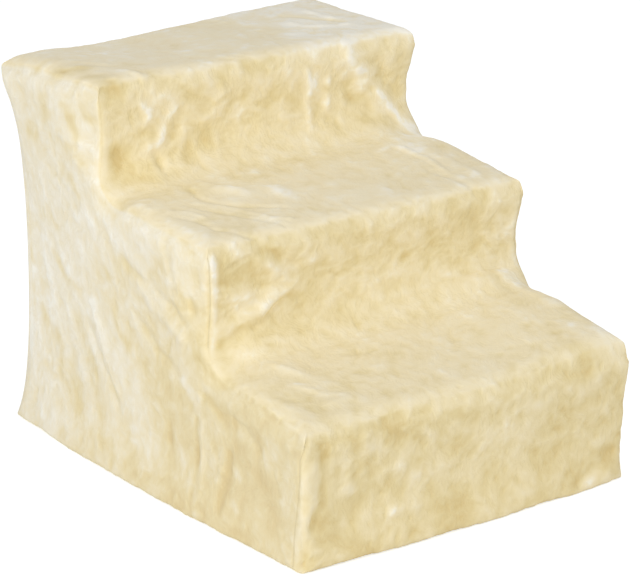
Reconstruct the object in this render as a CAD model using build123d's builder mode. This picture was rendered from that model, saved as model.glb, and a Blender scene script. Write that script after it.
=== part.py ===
from build123d import *
import os

# Three-step pet stairs: a push-fit tube frame with moulded tread boards and foam pads,
# under a sewn plush cover that pulls off upwards. Millimetres, +Z up, +Y up the stairs,
# origin at the centre of the footprint on the floor.

# Width, and each step's rise and depth
stair_width = 350.0
first_rise = 119.0
second_rise = 118.0
top_rise = 103.0
first_tread_depth = 135.0
second_tread_depth = 155.0
top_tread_depth = 160.0

# Plush cover
cover_wall = 14.0  # pile, backing and seam allowance along the edges
cover_top_thickness = 9.0
nose_radius = 14.0  # front edge of each tread, and the top edge at the back
rim_radius = 12.0  # round of the side panels' edges
first_tread_slope = 24.0  # how far the spanning plush climbs from a nose to the next riser
second_tread_slope = 14.0
lower_bridge_radius = 30.0  # inner corner of the first tread and the second riser
upper_bridge_radius = 26.0
first_riser_draw = 3.0  # how far the stretched plush is drawn in between its edges
upper_riser_draw = 6.0
back_draw = 8.0
front_side_draw = 3.0
middle_side_draw = 5.0
rear_side_draw = 8.0
draw_blend = 30.0  # length over which one side draw runs into the next
hem_clearance = 1.0

# Frame tubes and their moulded connectors
tube_diameter = 19.0
tube_wall = 0.8
socket_clearance = 0.1
socket_wall = 2.4
socket_depth_share = 0.21  # of the shortest post, from connector to connector
sleeve_half_length = 20.0
core_lip = 1.0  # how far the connectors' square core stands proud of their sockets
core_round = 2.0

# Soles under the base connectors
sole_thickness = 3.0
sole_corner_radius = 3.0

# Tread boards and foam pads
board_thickness = 5.0
board_clearance = 0.5  # between the boards' edges and the inside of the cover
board_overhang = 3.0  # past the connectors
board_corner_radius = 12.0
board_edge_round = 1.5
notch_clearance = 1.2
rib_height = 7.0
rib_thickness = 3.0
rib_count = 3
rib_end_gap = 6.0
saddle_width = 18.0
saddle_offset = 70.0
saddle_wall = 2.5
pad_thickness = 8.0
pad_inset = 1.5
pad_clearance = 0.3

# Hook-and-loop strips that hold the hem to the base rails
hook_thickness = 1.8
hook_height = 14.0
loop_thickness = 1.6
loop_height = 20.0
loop_fit_gap = 0.1
strip_end_gap = 6.0  # from the connector at each end of a strip

overrun = 20.0  # how far every cutting tool runs past the stock

# Places that follow from the sizes above
first_tread_height = first_rise
second_tread_height = first_tread_height + second_rise
stair_height = second_tread_height + top_rise
first_tread_rear = first_tread_height + first_tread_slope
second_tread_rear = second_tread_height + second_tread_slope
stair_depth = first_tread_depth + second_tread_depth + top_tread_depth
half_width = stair_width / 2
front_y = -stair_depth / 2
back_y = stair_depth / 2
second_riser_y = front_y + first_tread_depth
third_riser_y = second_riser_y + second_tread_depth
cavity_half_width = half_width - cover_wall
tube_radius = tube_diameter / 2
bore_radius = tube_radius + socket_clearance
connector_radius = bore_radius + socket_wall
core_half = connector_radius + core_lip
board_half_width = cavity_half_width - board_clearance
post_x = board_half_width - board_overhang - core_half
edge_to_post = cover_wall + board_clearance + board_overhang + core_half
base_z = sole_thickness + core_half
stack_height = cover_top_thickness + pad_clearance + pad_thickness + board_thickness

post_y = {
    "front": front_y + edge_to_post,
    "second": second_riser_y + edge_to_post,
    "third": third_riser_y + edge_to_post,
    "back": back_y - edge_to_post,
}
tread_height = {
    "first": first_tread_height,
    "second": second_tread_height,
    "top": stair_height,
}
rail_z = {"base": base_z}
for tread, height in tread_height.items():
    rail_z[tread] = height - stack_height - core_half
socket_depth = socket_depth_share * (rail_z["first"] - base_z)
strip_y = (post_y["second"] + post_y["third"]) / 2
side_strip_length = post_y["third"] - post_y["second"] - 2 * (sleeve_half_length + strip_end_gap)
end_strip_length = 2 * (post_x - connector_radius - socket_depth - strip_end_gap)
sides = {"left": -1, "right": 1}

os.makedirs("parts", exist_ok=True)


def keep(builder, name):
    builder.part.label = name
    export_step(builder.part, f"parts/{name}.step")


# Frame tubes: cut steel tube, pushed into the connectors until it meets their stops

def make_tube(name, start, direction, length):
    with BuildPart() as tube:
        with BuildSketch(Plane(origin=start, z_dir=direction)):
            Circle(tube_radius)
            Circle(tube_radius - tube_wall, mode=Mode.SUBTRACT)
        extrude(amount=length)
    keep(tube, name)


def make_post(column, side, top_level):
    start = (sides[side] * post_x, post_y[column], base_z + connector_radius)
    length = rail_z[top_level] - base_z - 2 * connector_radius
    make_tube(f"{column}_post_{side}", start, (0, 0, 1), length)


def make_side_rail(name, side, level, front_column, back_column):
    start = (sides[side] * post_x, post_y[front_column] + connector_radius, rail_z[level])
    length = post_y[back_column] - post_y[front_column] - 2 * connector_radius
    make_tube(f"{name}_{side}", start, (0, 1, 0), length)


def make_cross_tube(name, column, level):
    start = (-post_x + connector_radius, post_y[column], rail_z[level])
    make_tube(name, start, (1, 0, 0), 2 * (post_x - connector_radius))


for side in sides:
    make_post("front", side, "first")
    make_post("second", side, "second")
    make_post("third", side, "top")
    make_post("back", side, "top")
    make_side_rail("base_rail", side, "base", "front", "back")
    make_side_rail("first_tread_rail", side, "first", "front", "second")
    make_side_rail("second_tread_rail", side, "second", "second", "third")
    make_side_rail("top_tread_rail", side, "top", "third", "back")

make_cross_tube("base_cross_tube_front", "front", "base")
make_cross_tube("base_cross_tube_back", "back", "base")
make_cross_tube("first_tread_cross_tube_front", "front", "first")
make_cross_tube("first_tread_cross_tube_back", "second", "first")
make_cross_tube("second_tread_cross_tube_front", "second", "second")
make_cross_tube("second_tread_cross_tube_back", "third", "second")
make_cross_tube("top_tread_cross_tube_front", "third", "top")
make_cross_tube("top_tread_cross_tube_back", "back", "top")


# Connectors: moulded blocks with a blind socket for each tube that ends there, and a
# sleeve for a tube that runs through

up, down, forward, rearward = (0, 0, 1), (0, 0, -1), (0, -1, 0), (0, 1, 0)


def make_connector(name, side, column, level, sockets, sleeve=None):
    centre = (sides[side] * post_x, post_y[column], rail_z[level])
    socket_root = connector_radius + core_lip / 2
    socket_stop = connector_radius
    with BuildPart() as connector:
        with Locations(centre):
            Box(2 * core_half, 2 * core_half, 2 * core_half)
        fillet(connector.edges(), core_round)
        for direction in sockets:
            with BuildSketch(Plane(origin=centre, z_dir=direction).offset(socket_root)):
                Circle(connector_radius)
            extrude(amount=socket_stop + socket_depth - socket_root)
            with BuildSketch(Plane(origin=centre, z_dir=direction).offset(socket_stop)):
                Circle(bore_radius)
            extrude(amount=socket_depth, mode=Mode.SUBTRACT)
        if sleeve:
            with BuildSketch(Plane(origin=centre, z_dir=sleeve)):
                Circle(connector_radius)
                Circle(bore_radius, mode=Mode.SUBTRACT)
            extrude(amount=sleeve_half_length, both=True)
            with BuildSketch(Plane(origin=centre, z_dir=sleeve)):
                Circle(bore_radius)
            extrude(amount=sleeve_half_length, both=True, mode=Mode.SUBTRACT)
    keep(connector, f"{name}_{side}")


for side, sign in sides.items():
    inward = (-sign, 0, 0)
    make_connector("base_corner_front", side, "front", "base", [up, rearward, inward])
    make_connector("base_tee_second", side, "second", "base", [up], sleeve=rearward)
    make_connector("base_tee_third", side, "third", "base", [up], sleeve=rearward)
    make_connector("base_corner_back", side, "back", "base", [up, forward, inward])
    make_connector("first_tread_corner", side, "front", "first", [down, rearward, inward])
    make_connector("first_tread_tee", side, "second", "first", [forward, inward], sleeve=up)
    make_connector("second_tread_corner", side, "second", "second", [down, rearward, inward])
    make_connector("second_tread_tee", side, "third", "second", [forward, inward], sleeve=up)
    make_connector("top_corner_front", side, "third", "top", [down, rearward, inward])
    make_connector("top_corner_back", side, "back", "top", [down, forward, inward])


# Rubber soles: one glued under each base connector

with BuildPart() as rubber_soles:
    with BuildSketch():
        sole_size = 2 * core_half
        sole_places = [(sign * post_x, y) for sign in sides.values() for y in post_y.values()]
        with Locations(*sole_places):
            RectangleRounded(sole_size, sole_size, sole_corner_radius)
    extrude(amount=sole_thickness)
keep(rubber_soles, "rubber_soles")


# Tread boards: moulded plates that rest on the connectors, with saddles that sit over
# the cross tubes, ribs between them, and notches where a post runs on upwards

def board_outline(front, back, back_column, inset):
    with BuildSketch() as outline:
        with Locations((0, (front + back) / 2)):
            RectangleRounded(2 * (board_half_width - inset), back - front - 2 * inset,
                             board_corner_radius)
        if back_column != "back":
            notch_x = post_x - core_half - notch_clearance - inset
            notch_y = post_y[back_column] - core_half - notch_clearance - inset
            with Locations((notch_x, notch_y), (-notch_x - half_width, notch_y)):
                Rectangle(half_width, back_y, align=(Align.MIN, Align.MIN), mode=Mode.SUBTRACT)
    return outline.sketch


def make_tread(tread, front_column, back_column):
    front = post_y[front_column] - core_half - board_overhang
    back = post_y[back_column] + tube_radius
    if back_column == "back":
        back = post_y[back_column] + core_half + board_overhang
    board_z = rail_z[tread] + core_half
    rib_front = post_y[front_column] + core_half + rib_end_gap
    rib_back = post_y[back_column] - core_half - rib_end_gap
    rib_span = rib_back - rib_front
    rib_half_width = post_x - core_half - rib_end_gap
    with BuildPart() as board:
        with BuildSketch(Plane.XY.offset(board_z)):
            add(board_outline(front, back, back_column, 0))
        extrude(amount=board_thickness)
        fillet(board.faces().sort_by(Axis.Z)[-1].edges(), board_edge_round)
        with BuildSketch(Plane.XY.offset(board_z)):
            for index in range(rib_count):
                rib_y = rib_front + rib_span * index / (rib_count - 1)
                with Locations((0, rib_y)):
                    Rectangle(2 * rib_half_width, rib_thickness)
            with Locations((0, (rib_front + rib_back) / 2)):
                with GridLocations(2 * rib_half_width - rib_thickness, 0, 2, 1):
                    Rectangle(rib_thickness, rib_span)
        extrude(amount=-rib_height)
        for column in (front_column, back_column):
            saddle_y = post_y[column]
            reach = connector_radius
            if saddle_y + bore_radius + saddle_wall > back:
                reach = back - saddle_y
            with BuildSketch(Plane.XY.offset(board_z)):
                for x in (-saddle_offset, saddle_offset):
                    with Locations((x, saddle_y - connector_radius)):
                        Rectangle(saddle_width, connector_radius + reach,
                                  align=(Align.CENTER, Align.MIN))
            extrude(amount=-core_half)
            tube_axis = Plane(origin=(-half_width, saddle_y, rail_z[tread]), z_dir=(1, 0, 0))
            with BuildSketch(tube_axis):
                Circle(bore_radius)
            extrude(amount=stair_width, mode=Mode.SUBTRACT)
    keep(board, f"{tread}_tread_board")

    with BuildPart() as pad:
        with BuildSketch(Plane.XY.offset(board_z + board_thickness)):
            add(board_outline(front, back, back_column, pad_inset))
        extrude(amount=pad_thickness)
    keep(pad, f"{tread}_tread_pad")


make_tread("first", "front", "second")
make_tread("second", "second", "third")
make_tread("top", "third", "back")


# Plush cover: two side panels sewn to one long strip that runs up the steps and over the
# top, and to a back panel. It is drawn in between the edges, where it is stretched, and
# spans the inner corners. Inside it is straight, so that it pulls off upwards.

def stair_outline():
    first_mid = (first_tread_height + hem_clearance) / 2
    second_mid = (first_tread_rear + second_tread_height) / 2
    third_mid = (second_tread_rear + stair_height) / 2
    back_mid = (stair_height + hem_clearance) / 2
    with BuildSketch() as outline:
        with BuildLine():
            ThreePointArc((front_y, hem_clearance), (front_y + first_riser_draw, first_mid),
                          (front_y, first_tread_height))
            Line((front_y, first_tread_height), (second_riser_y, first_tread_rear))
            ThreePointArc((second_riser_y, first_tread_rear),
                          (second_riser_y + upper_riser_draw, second_mid),
                          (second_riser_y, second_tread_height))
            Line((second_riser_y, second_tread_height), (third_riser_y, second_tread_rear))
            ThreePointArc((third_riser_y, second_tread_rear),
                          (third_riser_y + upper_riser_draw, third_mid),
                          (third_riser_y, stair_height))
            Line((third_riser_y, stair_height), (back_y, stair_height))
            ThreePointArc((back_y, stair_height), (back_y - back_draw, back_mid),
                          (back_y, hem_clearance))
            Line((back_y, hem_clearance), (front_y, hem_clearance))
        make_face()
        corners = outline.vertices()
        noses = [(front_y, first_tread_height), (second_riser_y, second_tread_height),
                 (third_riser_y, stair_height), (back_y, stair_height)]
        fillet([corners.sort_by_distance(nose)[0] for nose in noses], nose_radius)
        lower_corner = (second_riser_y, first_tread_rear)
        fillet(outline.vertices().sort_by_distance(lower_corner)[0], lower_bridge_radius)
        upper_corner = (third_riser_y, second_tread_rear)
        fillet(outline.vertices().sort_by_distance(upper_corner)[0], upper_bridge_radius)
    return outline.sketch


def hollow_outline():
    front = front_y + cover_wall
    second = second_riser_y + cover_wall
    third = third_riser_y + cover_wall
    back = back_y - cover_wall
    low = first_tread_height - cover_top_thickness
    middle = second_tread_height - cover_top_thickness
    high = stair_height - cover_top_thickness
    low_rear, middle_rear = low + first_tread_slope, middle + second_tread_slope
    with BuildSketch() as outline:
        with BuildLine():
            Polyline((front, 0), (front, low), (second, low_rear), (second, middle),
                     (third, middle_rear), (third, high), (back, high), (back, 0), close=True)
        make_face()
        lower_corner = outline.vertices().sort_by_distance((second, low_rear))[0]
        fillet(lower_corner, lower_bridge_radius + cover_top_thickness)
        upper_corner = outline.vertices().sort_by_distance((third, middle_rear))[0]
        fillet(upper_corner, upper_bridge_radius + cover_top_thickness)
    return outline.sketch


def side_draw_stations():
    return [
        (front_y - overrun, first_tread_height, front_side_draw),
        (second_riser_y - draw_blend, first_tread_rear, front_side_draw),
        (second_riser_y + draw_blend, second_tread_height, middle_side_draw),
        (third_riser_y - draw_blend, second_tread_rear, middle_side_draw),
        (third_riser_y + draw_blend, stair_height, rear_side_draw),
        (back_y + overrun, stair_height, rear_side_draw),
    ]


with BuildPart() as cover_left_side:
    with BuildSketch(Plane.YZ.offset(-half_width)):
        add(stair_outline())
    extrude(amount=cover_wall)
    outer_face = cover_left_side.faces().sort_by(Axis.X)[0]
    rim = outer_face.edges().filter_by(lambda edge: edge.center().Z > 2 * hem_clearance)
    fillet(rim, rim_radius)
    for station_y, top, draw in side_draw_stations():
        with BuildSketch(Plane.XZ.offset(-station_y)):
            with BuildLine():
                ThreePointArc((-half_width, 0), (-half_width + draw, top / 2), (-half_width, top))
                Polyline((-half_width, top), (-half_width - overrun, top),
                         (-half_width - overrun, 0), (-half_width, 0))
            make_face()
    loft(ruled=True, mode=Mode.SUBTRACT)
    recess = loop_thickness + loop_fit_gap
    with Locations((-cavity_half_width, strip_y, base_z)):
        Box(recess, side_strip_length + 2 * loop_fit_gap, loop_height + 2 * loop_fit_gap,
            align=(Align.MAX, Align.CENTER, Align.CENTER), mode=Mode.SUBTRACT)
keep(cover_left_side, "cover_left_side")

with BuildPart() as cover_right_side:
    add(cover_left_side.part)
    mirror(about=Plane.YZ, mode=Mode.REPLACE)
keep(cover_right_side, "cover_right_side")

with BuildPart() as cover_step_strip:
    with BuildSketch(Plane.YZ):
        add(stair_outline())
        add(hollow_outline(), mode=Mode.SUBTRACT)
        with Locations((back_y - cover_wall, 0)):
            Rectangle(2 * cover_wall, stair_height, align=(Align.MIN, Align.MIN), mode=Mode.SUBTRACT)
    extrude(amount=cavity_half_width, both=True)
    with Locations((0, front_y + cover_wall, base_z)):
        Box(end_strip_length + 2 * loop_fit_gap, recess, loop_height + 2 * loop_fit_gap,
            align=(Align.CENTER, Align.MAX, Align.CENTER), mode=Mode.SUBTRACT)
keep(cover_step_strip, "cover_step_strip")

with BuildPart() as cover_back:
    with BuildSketch(Plane.YZ):
        add(stair_outline())
        with Locations((back_y - cover_wall, 0)):
            Rectangle(stair_depth, stair_height, align=(Align.MAX, Align.MIN), mode=Mode.SUBTRACT)
    extrude(amount=cavity_half_width, both=True)
    with Locations((0, back_y - cover_wall, base_z)):
        Box(end_strip_length + 2 * loop_fit_gap, recess, loop_height + 2 * loop_fit_gap,
            align=(Align.CENTER, Align.MIN, Align.CENTER), mode=Mode.SUBTRACT)
keep(cover_back, "cover_back")


# Hook strips stuck along the base rails, and the loop strips sewn inside the hem

with BuildPart() as rail_hook_strips:
    for sign in sides.values():
        rail = Plane(origin=(sign * post_x, strip_y - side_strip_length / 2, base_z), z_dir=(0, 1, 0),
                     x_dir=(sign, 0, 0))
        with BuildSketch(rail):
            Circle(tube_radius + hook_thickness)
            Circle(bore_radius, mode=Mode.SUBTRACT)
            Rectangle(2 * connector_radius, hook_height, align=(Align.MIN, Align.CENTER),
                      mode=Mode.INTERSECT)
        extrude(amount=side_strip_length)
    for sign, column in ((-1, "front"), (1, "back")):
        rail = Plane(origin=(-end_strip_length / 2, post_y[column], base_z), z_dir=(1, 0, 0),
                     x_dir=(0, sign, 0))
        with BuildSketch(rail):
            Circle(tube_radius + hook_thickness)
            Circle(bore_radius, mode=Mode.SUBTRACT)
            Rectangle(2 * connector_radius, hook_height, align=(Align.MIN, Align.CENTER),
                      mode=Mode.INTERSECT)
        extrude(amount=end_strip_length)
keep(rail_hook_strips, "rail_hook_strips")

with BuildPart() as hem_loop_strips:
    for sign in sides.values():
        with Locations((sign * (cavity_half_width + loop_thickness / 2), strip_y, base_z)):
            Box(loop_thickness, side_strip_length, loop_height)
        with Locations((0, sign * (back_y - cover_wall + loop_thickness / 2), base_z)):
            Box(end_strip_length, loop_thickness, loop_height)
keep(hem_loop_strips, "hem_loop_strips")
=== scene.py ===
import math

import bmesh
import bpy
import numpy as np
from mathutils import Matrix, Vector, noise


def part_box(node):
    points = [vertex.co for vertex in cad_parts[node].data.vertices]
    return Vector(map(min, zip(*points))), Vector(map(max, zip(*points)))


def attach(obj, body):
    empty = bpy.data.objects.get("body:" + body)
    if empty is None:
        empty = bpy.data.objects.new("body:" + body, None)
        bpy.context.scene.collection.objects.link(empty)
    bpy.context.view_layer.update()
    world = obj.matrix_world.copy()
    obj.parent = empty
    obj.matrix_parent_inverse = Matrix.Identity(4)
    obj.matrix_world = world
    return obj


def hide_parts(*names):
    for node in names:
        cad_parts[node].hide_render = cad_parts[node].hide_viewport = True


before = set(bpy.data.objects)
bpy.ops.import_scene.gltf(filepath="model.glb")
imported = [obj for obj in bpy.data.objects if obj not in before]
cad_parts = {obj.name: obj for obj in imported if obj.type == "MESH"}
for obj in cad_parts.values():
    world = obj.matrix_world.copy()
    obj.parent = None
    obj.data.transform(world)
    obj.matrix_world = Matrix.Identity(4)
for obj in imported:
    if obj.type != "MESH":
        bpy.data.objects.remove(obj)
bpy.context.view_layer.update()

# Camera: a long lens at the height of a standing viewer, turned to the stairs' front left
# corner as in the photograph.
camera_place = Vector((-1.373, -1.834, 0.901))
camera_turn, camera_height_angle, camera_roll = (math.radians(a) for a in (-37.06, 18.205, 0.17))
backward = Vector((math.sin(camera_turn) * math.cos(camera_height_angle),
                   -math.cos(camera_turn) * math.cos(camera_height_angle),
                   math.sin(camera_height_angle)))
level_right = Vector((math.cos(camera_turn), math.sin(camera_turn), 0))
level_up = backward.cross(level_right)
right = math.cos(camera_roll) * level_right + math.sin(camera_roll) * level_up
up = math.cos(camera_roll) * level_up - math.sin(camera_roll) * level_right
camera = bpy.data.objects.new("camera", bpy.data.cameras.new("camera"))
camera.matrix_world = Matrix((
    (right.x, up.x, backward.x, camera_place.x),
    (right.y, up.y, backward.y, camera_place.y),
    (right.z, up.z, backward.z, camera_place.z),
    (0, 0, 0, 1)))
camera.data.lens = 156.0
camera.data.clip_start = 0.05
bpy.context.scene.collection.objects.link(camera)
bpy.context.scene.camera = camera
bpy.context.scene.view_settings.view_transform = "Standard"


# Studio: a seamless white floor and surround. The soft lamps stand to the left and in front,
# so that the left side is the lightest and the treads the darkest, as in the photograph.
def add_node(tree, kind, inputs=None, **settings):
    made = tree.nodes.new("ShaderNode" + kind)
    for name, value in settings.items():
        setattr(made, name, value)
    for socket, value in (inputs or {}).items():
        if isinstance(value, bpy.types.NodeSocket):
            tree.links.new(value, made.inputs[socket])
        else:
            made.inputs[socket].default_value = value
    return made


def maths(tree, operation, *values):
    return add_node(tree, "Math", dict(enumerate(values)), operation=operation).outputs[0]


def seen_directly(tree):
    path = add_node(tree, "LightPath").outputs
    camera_or_gloss = maths(tree, "MAXIMUM", path["Is Camera Ray"], path["Is Glossy Ray"])
    return maths(tree, "MAXIMUM", camera_or_gloss, path["Is Transmission Ray"])


surround_light, floor_glow = 0.42, 0.62
floor_colour = (0.86, 0.86, 0.855, 1)
world = bpy.data.worlds.new("surround")
bpy.context.scene.world = world
world.use_nodes = True
world.node_tree.nodes.clear()
lit = add_node(world.node_tree, "Background", {"Color": (1, 1, 1, 1), "Strength": surround_light})
shown = add_node(world.node_tree, "Background", {"Color": (1, 1, 1, 1), "Strength": 1.0})
mixed = add_node(world.node_tree, "MixShader", {0: seen_directly(world.node_tree),
                                                1: lit.outputs[0], 2: shown.outputs[0]})
add_node(world.node_tree, "OutputWorld", {"Surface": mixed.outputs[0]})

floor_mesh = bmesh.new()
bmesh.ops.create_grid(floor_mesh, x_segments=1, y_segments=1, size=12)
floor = bpy.data.objects.new("floor", bpy.data.meshes.new("floor"))
floor_mesh.to_mesh(floor.data)
floor_mesh.free()
bpy.context.scene.collection.objects.link(floor)
floor_finish = bpy.data.materials.new("white_floor")
floor_finish.use_nodes = True
floor_tree = floor_finish.node_tree
floor_tree.nodes.clear()
paint = add_node(floor_tree, "BsdfDiffuse", {"Color": floor_colour})
glow = add_node(floor_tree, "Emission", {"Color": (1, 1, 1, 1), "Strength": floor_glow})
both = add_node(floor_tree, "AddShader", {0: paint.outputs[0], 1: glow.outputs[0]})
floor_mix = add_node(floor_tree, "MixShader", {0: seen_directly(floor_tree), 1: paint.outputs[0],
                                               2: both.outputs[0]})
add_node(floor_tree, "OutputMaterial", {"Surface": floor_mix.outputs[0]})
floor.data.materials.append(floor_finish)

stairs_middle = Vector((0, 0, 0.17))
lamps = {
    "left_lamp": ((-2.5, -0.5, 1.40), 1.6, 32),
    "front_lamp": ((-0.5, -2.8, 1.45), 1.8, 27),
    "right_lamp": ((2.3, -1.4, 1.7), 1.6, 9),
}
for name, (place, size, power) in lamps.items():
    lamp = bpy.data.objects.new(name, bpy.data.lights.new(name, "AREA"))
    lamp.data.shape = "DISK"
    lamp.data.size = size
    lamp.data.energy = power
    lamp.location = place
    lamp.rotation_mode = "QUATERNION"
    lamp.rotation_quaternion = (stairs_middle - Vector(place)).to_track_quat("-Z", "Y")
    bpy.context.scene.collection.objects.link(lamp)


# Frame tubes: thin steel tube, cut to length and powder coated in warm white. The coat has a
# fine orange peel, and light scuffs from being pushed together.
def new_finish(name, roughness, **constants):
    finish = bpy.data.materials.new(name)
    finish.use_nodes = True
    tree = finish.node_tree
    tree.nodes.clear()
    shader = add_node(tree, "BsdfPrincipled", {"Roughness": roughness})
    for socket, value in constants.items():
        shader.inputs[socket.replace("_", " ")].default_value = value
    add_node(tree, "OutputMaterial", {"Surface": shader.outputs[0]})
    place = add_node(tree, "TexCoord").outputs["Object"]
    return finish, tree, shader, place


def grain(tree, place, scale, detail=2.0, stretch=(1, 1, 1), kind="TexNoise", **inputs):
    mapped = add_node(tree, "Mapping", {"Vector": place, "Scale": stretch}).outputs[0]
    values = {"Vector": mapped, "Scale": scale}
    if kind == "TexNoise":
        values["Detail"] = detail
    values.update(inputs)
    return add_node(tree, kind, values)


def ramp(tree, factor, stops):
    made = add_node(tree, "ValToRGB", {"Fac": factor})
    while len(made.color_ramp.elements) < len(stops):
        made.color_ramp.elements.new(0.5)
    for element, (position, colour) in zip(made.color_ramp.elements, stops):
        element.position = position
        element.color = (*colour, 1)
    return made.outputs["Color"]


def colour_by(tree, shader, factor, stops):
    tree.links.new(ramp(tree, factor, stops), shader.inputs["Base Color"])


def in_range(tree, value, low, high, from_low=0.0, from_high=1.0):
    return add_node(tree, "MapRange", {"Value": value, "From Min": from_low, "From Max": from_high,
                                       "To Min": low, "To Max": high}).outputs[0]


def raise_bump(tree, shader, height, distance, strength=1.0, under=None):
    inputs = {"Height": height, "Distance": distance, "Strength": strength}
    if under is not None:
        inputs["Normal"] = under
    bump = add_node(tree, "Bump", inputs)
    if shader is not None:
        tree.links.new(bump.outputs[0], shader.inputs["Normal"])
    return bump.outputs[0]


def dress(finish, names):
    for name in names:
        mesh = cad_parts[name].data
        mesh.materials.clear()
        mesh.materials.append(finish)


coat, tree, shader, place = new_finish("powder_coat", 0.42, Specular_IOR_Level=0.45)
peel = grain(tree, place, 900, detail=1.0).outputs["Fac"]
scuff = grain(tree, place, 60, detail=6.0, stretch=(1, 1, 0.25)).outputs["Fac"]
colour_by(tree, shader, scuff, [(0.0, (0.60, 0.60, 0.575)), (0.42, (0.70, 0.70, 0.68)),
                                (0.62, (0.72, 0.72, 0.70)), (1.0, (0.76, 0.76, 0.745))])
tree.links.new(in_range(tree, scuff, 0.34, 0.55), shader.inputs["Roughness"])
raise_bump(tree, shader, peel, 0.0004, 0.35)
dress(coat, [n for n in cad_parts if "_post_" in n or "_rail_" in n and "strips" not in n
             or "_cross_tube_" in n])


# Connectors: corners and tees moulded in dark polypropylene, with a fine spark-eroded
# texture that is worn smoother in patches.
moulded, tree, shader, place = new_finish("moulded_connector", 0.5, Specular_IOR_Level=0.4)
pores = grain(tree, place, 1800, detail=2.0).outputs["Fac"]
rub = grain(tree, place, 90, detail=5.0).outputs["Fac"]
colour_by(tree, shader, rub, [(0.25, (0.020, 0.020, 0.022)), (0.6, (0.028, 0.028, 0.031)),
                              (0.9, (0.050, 0.050, 0.054))])
tree.links.new(in_range(tree, rub, 0.62, 0.40), shader.inputs["Roughness"])
raise_bump(tree, shader, pores, 0.0003, 0.6)
dress(moulded, [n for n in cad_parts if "_corner_" in n or "_tee_" in n])


# Soles: flat pads of black rubber, one under each of the eight base connectors, that keep the
# stairs from sliding. They are matt and a little dusty.
rubber, tree, shader, place = new_finish("sole_rubber", 0.85, Specular_IOR_Level=0.25)
dust = grain(tree, place, 140, detail=6.0).outputs["Fac"]
colour_by(tree, shader, dust, [(0.3, (0.012, 0.012, 0.012)), (0.75, (0.035, 0.034, 0.032))])
raise_bump(tree, shader, grain(tree, place, 1200).outputs["Fac"], 0.0003, 0.5)
dress(rubber, ["rubber_soles"])


# Tread boards: ribbed plates moulded in off-white polypropylene that clip on the tubes with
# their saddles. Their skin is finely textured, with faint flow marks.
board_plastic, tree, shader, place = new_finish("moulded_board", 0.48, Specular_IOR_Level=0.4)
flow = grain(tree, place, 14, detail=4.0, stretch=(0.3, 1.4, 1)).outputs["Fac"]
colour_by(tree, shader, flow, [(0.3, (0.60, 0.58, 0.52)), (0.7, (0.66, 0.64, 0.585))])
raise_bump(tree, shader, grain(tree, place, 1500).outputs["Fac"], 0.0003, 0.5)
boards = ["first_tread_board", "second_tread_board", "top_tread_board"]
dress(board_plastic, boards)


# Tread pads: sheets of open-cell foam glued on the boards, cut square, softened along their
# edges and pressed a little hollow in the middle.
foam, tree, shader, place = new_finish("open_cell_foam", 0.95, Specular_IOR_Level=0.1)
cells = grain(tree, place, 700, kind="TexVoronoi").outputs["Distance"]
pores = grain(tree, place, 260, detail=4.0).outputs["Fac"]
colour_by(tree, shader, pores, [(0.3, (0.74, 0.69, 0.55)), (0.7, (0.84, 0.80, 0.68))])
raise_bump(tree, shader, cells, 0.0012, 0.8)


def new_piece(name, built, finish, smooth=True):
    for face in built.faces:
        face.smooth = smooth
    piece = bpy.data.objects.new(name, bpy.data.meshes.new(name))
    built.to_mesh(piece.data)
    built.free()
    piece.data.materials.append(finish)
    bpy.context.scene.collection.objects.link(piece)
    return piece


foam_edge = 0.0022
foam_cell = 0.008
foam_dip, foam_grain = 0.0008, 0.0002
for tread in ("first_tread", "second_tread", "top_tread"):
    low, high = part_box(tread + "_pad")
    middle, size = (low + high) / 2, high - low
    pad = bmesh.new()
    bmesh.ops.create_cube(pad, size=1)
    bmesh.ops.scale(pad, vec=size, verts=pad.verts)
    bmesh.ops.bevel(pad, geom=pad.edges, offset=foam_edge, segments=3, profile=0.5,
                    affect="EDGES", material=-1)
    for axis, length in ((Vector((1, 0, 0)), size.x), (Vector((0, 1, 0)), size.y)):
        cuts = int(length / foam_cell)
        for cut in range(1, cuts):
            bmesh.ops.bisect_plane(pad, geom=pad.verts[:] + pad.edges[:] + pad.faces[:],
                                   plane_co=axis * (length * (cut / cuts - 0.5)), plane_no=axis)
    for vert in pad.verts:
        across = 1 - (2 * vert.co.x / size.x) ** 2
        along = 1 - (2 * vert.co.y / size.y) ** 2
        vert.co.z -= (foam_dip * max(across, 0) * max(along, 0)
                      + foam_grain * (1 + noise.noise(vert.co * 40))) * (vert.co.z > 0)
    bmesh.ops.translate(pad, vec=middle, verts=pad.verts)
    foam_pad = new_piece(tread + "_foam", pad, foam)
    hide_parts(tread + "_pad")
    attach(foam_pad, "frame")


# Hem tapes: hook tape stuck along the base rails, and soft loop tape sewn inside the hem of
# the cover, which hold the cover down on the frame.
hooks, tree, shader, place = new_finish("hook_tape", 0.6, Specular_IOR_Level=0.4)
rows = grain(tree, place, 620, kind="TexVoronoi", Randomness=0.25).outputs["Distance"]
colour_by(tree, shader, rows, [(0.1, (0.74, 0.71, 0.62)), (0.55, (0.50, 0.47, 0.39))])
raise_bump(tree, shader, rows, 0.0012, 1.0)
dress(hooks, ["rail_hook_strips"])
loops, tree, shader, place = new_finish("loop_tape", 0.9, Specular_IOR_Level=0.15,
                                        Sheen_Weight=0.3)
curls = grain(tree, place, 900, detail=4.0).outputs["Fac"]
colour_by(tree, shader, curls, [(0.3, (0.66, 0.61, 0.47)), (0.7, (0.80, 0.76, 0.63))])
raise_bump(tree, shader, curls, 0.001, 0.9)
dress(loops, ["hem_loop_strips"])


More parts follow.
